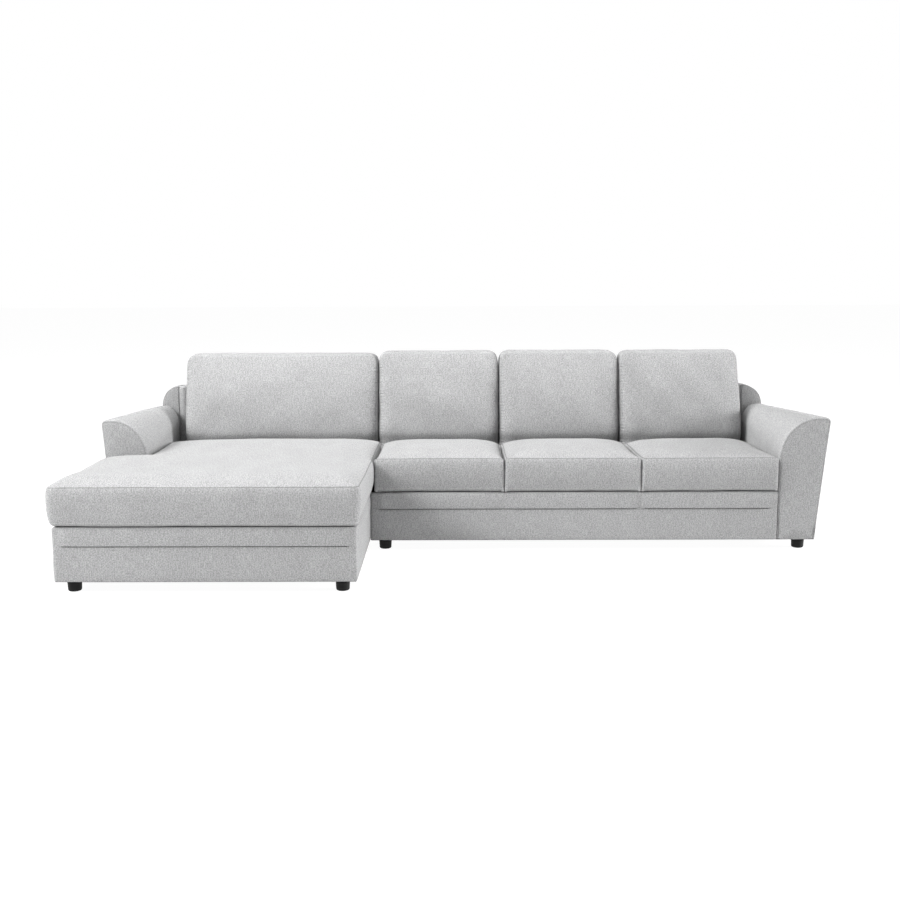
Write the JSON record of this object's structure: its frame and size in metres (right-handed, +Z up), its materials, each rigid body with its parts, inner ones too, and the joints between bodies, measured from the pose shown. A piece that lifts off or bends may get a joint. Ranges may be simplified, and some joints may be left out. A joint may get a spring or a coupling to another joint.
{
  "type": "corner sofa",
  "caption": "Corner sofa with a long chaise seat, flared arms, rounded back wings and loose boxed cushions on sprung timber bases with short feet.",
  "frame": {"origin": "on the floor, midway between the ends of the seat bases and midway between the front of the chaise cushion and the back", "axes": "+X to the right along the sofa as its user faces it from the front, +Y to the back, +Z up"},
  "size_m": [3.264, 1.645, 0.853],
  "materials": {
    "upholstery": "light grey melange weave",
    "timber": "sawn softwood and plywood",
    "steel": "zinc plated",
    "foam": "cut polyurethane foam",
    "black_cloth": "non-woven dust cloth",
    "webbing": "elastic webbing",
    "black_plastic": "satin black"
  },
  "bodies": {
    "sofa": {"chaise_base_cover": "upholstery", "left_arm_cover": "upholstery", "left_wing_cover": "upholstery", "chaise_back_cover": "upholstery", "sofa_base_cover": "upholstery", "right_arm_cover": "upholstery", "right_wing_cover": "upholstery", "sofa_back_cover": "upholstery", "chaise_seat_frame": "timber", "left_arm_frame": "timber", "chaise_back_frame": "timber", "sofa_seat_frame": "timber", "right_arm_frame": "timber", "sofa_back_frame": "timber", "corner_blocks": "timber", "chaise_springs": "steel", "chaise_spring_clips": "steel", "sofa_springs": "steel", "sofa_spring_clips": "steel", "foot_bolts": "steel", "foot_nuts": "steel", "frame_bolts": "steel", "frame_nuts": "steel", "link_plates": "steel", "link_screws": "steel", "chaise_deck_pad": "foam", "sofa_deck_pad": "foam", "chaise_dust_cover": "black_cloth", "sofa_dust_cover": "black_cloth", "chaise_back_webbing": "webbing", "sofa_back_webbing": "webbing", "feet": "black_plastic"},
    "chaise_seat": {"chaise_seat_cushion": "upholstery", "chaise_seat_foam": "foam"},
    "left_seat": {"left_seat_cushion": "upholstery", "left_seat_foam": "foam"},
    "middle_seat": {"middle_seat_cushion": "upholstery", "middle_seat_foam": "foam"},
    "right_seat": {"right_seat_cushion": "upholstery", "right_seat_foam": "foam"},
    "chaise_back": {"chaise_back_cushion": "upholstery", "chaise_back_foam": "foam"},
    "left_back": {"left_back_cushion": "upholstery", "left_back_foam": "foam"},
    "middle_back": {"middle_back_cushion": "upholstery", "middle_back_foam": "foam"},
    "right_back": {"right_back_cushion": "upholstery", "right_back_foam": "foam"}
  },
  "joints": [
    {"name": "chaise_seat_lift", "type": "slide", "parent": "sofa", "child": "chaise_seat", "axis": [0, 0, 1], "range_m": [0, 0.6]},
    {"name": "left_seat_lift", "type": "slide", "parent": "sofa", "child": "left_seat", "axis": [0, 0, 1], "range_m": [0, 0.6]},
    {"name": "middle_seat_lift", "type": "slide", "parent": "sofa", "child": "middle_seat", "axis": [0, 0, 1], "range_m": [0, 0.6]},
    {"name": "right_seat_lift", "type": "slide", "parent": "sofa", "child": "right_seat", "axis": [0, 0, 1], "range_m": [0, 0.6]},
    {"name": "chaise_back_lift", "type": "slide", "parent": "sofa", "child": "chaise_back", "axis": [0, 0, 1], "range_m": [0, 0.6]},
    {"name": "left_back_lift", "type": "slide", "parent": "sofa", "child": "left_back", "axis": [0, 0, 1], "range_m": [0, 0.6]},
    {"name": "middle_back_lift", "type": "slide", "parent": "sofa", "child": "middle_back", "axis": [0, 0, 1], "range_m": [0, 0.6]},
    {"name": "right_back_lift", "type": "slide", "parent": "sofa", "child": "right_back", "axis": [0, 0, 1], "range_m": [0, 0.6]}
  ]
}
